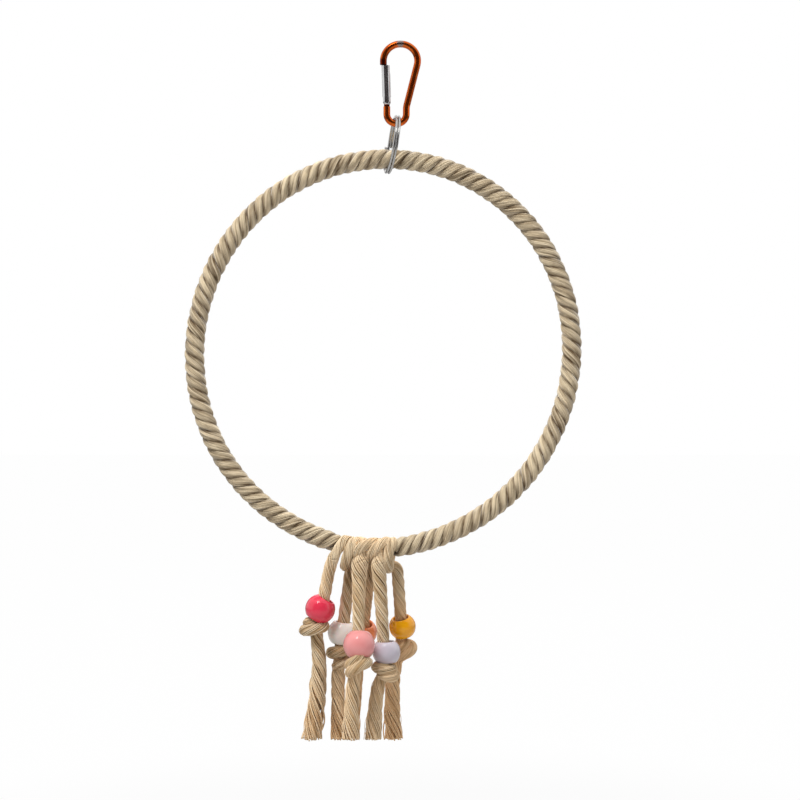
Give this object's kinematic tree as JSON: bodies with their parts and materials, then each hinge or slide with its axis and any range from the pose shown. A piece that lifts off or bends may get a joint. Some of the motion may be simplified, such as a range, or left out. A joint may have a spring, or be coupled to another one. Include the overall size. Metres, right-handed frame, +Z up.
{
  "type": "bird swing",
  "caption": "Rope-wrapped hoop perch that hangs from a split ring and a snap carabiner, with a beaded cotton cord tassel hitched to its bottom.",
  "frame": {"origin": "under the carabiner's top bend, where a cage wire carries the swing", "axes": "+Z up, along the line that it hangs on; -Y to the front, square to the hoop; +X to the right"},
  "size_m": [0.1672, 0.0437, 0.2942],
  "materials": {
    "orange_aluminium": "anodised, glossy",
    "gate_metal": "bright",
    "steel": "nickel plated",
    "cotton_rope": "natural cotton, three-strand lay",
    "cotton_cord": "natural cotton, soft lay",
    "bead_red": "glossy",
    "bead_white": "glossy",
    "bead_pink": "glossy",
    "bead_orange": "glossy",
    "bead_lavender": "glossy",
    "bead_yellow": "glossy"
  },
  "bodies": {
    "carabiner": {"carabiner_body": "orange_aluminium", "gate_rivet": "steel"},
    "gate": {"carabiner_gate": "gate_metal", "gate_latch_pin": "steel", "gate_spring": "steel", "spring_plunger": "steel"},
    "ring": {"split_ring": "steel"},
    "hoop": {"hoop_core": "steel", "hoop_rope": "cotton_rope"},
    "tassel": {"hitch_left": "cotton_cord", "hitch_mid": "cotton_cord", "hitch_right": "cotton_cord", "cord_red": "cotton_cord", "knot_red": "cotton_cord", "tail_red": "cotton_cord", "cord_white": "cotton_cord", "knot_white": "cotton_cord", "tail_white": "cotton_cord", "cord_pink": "cotton_cord", "knot_pink": "cotton_cord", "tail_pink": "cotton_cord", "cord_orange": "cotton_cord", "knot_orange": "cotton_cord", "tail_orange": "cotton_cord", "cord_lavender": "cotton_cord", "knot_lavender": "cotton_cord", "tail_lavender": "cotton_cord", "cord_yellow": "cotton_cord", "knot_yellow": "cotton_cord", "tail_yellow": "cotton_cord"},
    "bead_red": {"bead_red": "bead_red"},
    "bead_white": {"bead_white": "bead_white"},
    "bead_pink": {"bead_pink": "bead_pink"},
    "bead_orange": {"bead_orange": "bead_orange"},
    "bead_lavender": {"bead_lavender": "bead_lavender"},
    "bead_yellow": {"bead_yellow": "bead_yellow"}
  },
  "joints": [
    {"name": "gate_hinge", "type": "hinge", "parent": "carabiner", "child": "gate", "pos_m": [-0.00545, 0, -0.0228], "axis": [0, 1, 0], "range_deg": [0, 28], "stiffness_Nm_per_rad": 0.01, "springref_deg": -11.46},
    {"name": "ring_swing", "type": "hinge", "parent": "carabiner", "child": "ring", "pos_m": [-0.00135, 0, -0.03205], "axis": [1, 0, 0], "range_deg": [-45, 45]},
    {"name": "hoop_rock", "type": "hinge", "parent": "ring", "child": "hoop", "pos_m": [-0.00402, 0, -0.04617], "axis": [0, 1, 0], "range_deg": [-10, 10]},
    {"name": "tassel_swing", "type": "hinge", "parent": "hoop", "child": "tassel", "pos_m": [-0.01329, 0, -0.20974], "axis": [0.9981, 0, -0.0611], "range_deg": [-30, 30]},
    {"name": "bead_red_slide", "type": "slide", "parent": "tassel", "child": "bead_red", "axis": [0.5267, -0.0468, 0.8488], "range_m": [0, 0.006]},
    {"name": "bead_white_slide", "type": "slide", "parent": "tassel", "child": "bead_white", "axis": [0.1247, -0.0477, 0.991], "range_m": [0, 0.006]},
    {"name": "bead_pink_slide", "type": "slide", "parent": "tassel", "child": "bead_pink", "axis": [0.0196, 0.2954, 0.9552], "range_m": [0, 0.006]},
    {"name": "bead_orange_slide", "type": "slide", "parent": "tassel", "child": "bead_orange", "axis": [0.1368, -0.4582, 0.8783], "range_m": [0, 0.006]},
    {"name": "bead_lavender_slide", "type": "slide", "parent": "tassel", "child": "bead_lavender", "axis": [-0.0457, -0.0107, 0.9989], "range_m": [0, 0.006]},
    {"name": "bead_yellow_slide", "type": "slide", "parent": "tassel", "child": "bead_yellow", "axis": [-0.1788, -0.2746, 0.9448], "range_m": [0, 0.006]}
  ]
}
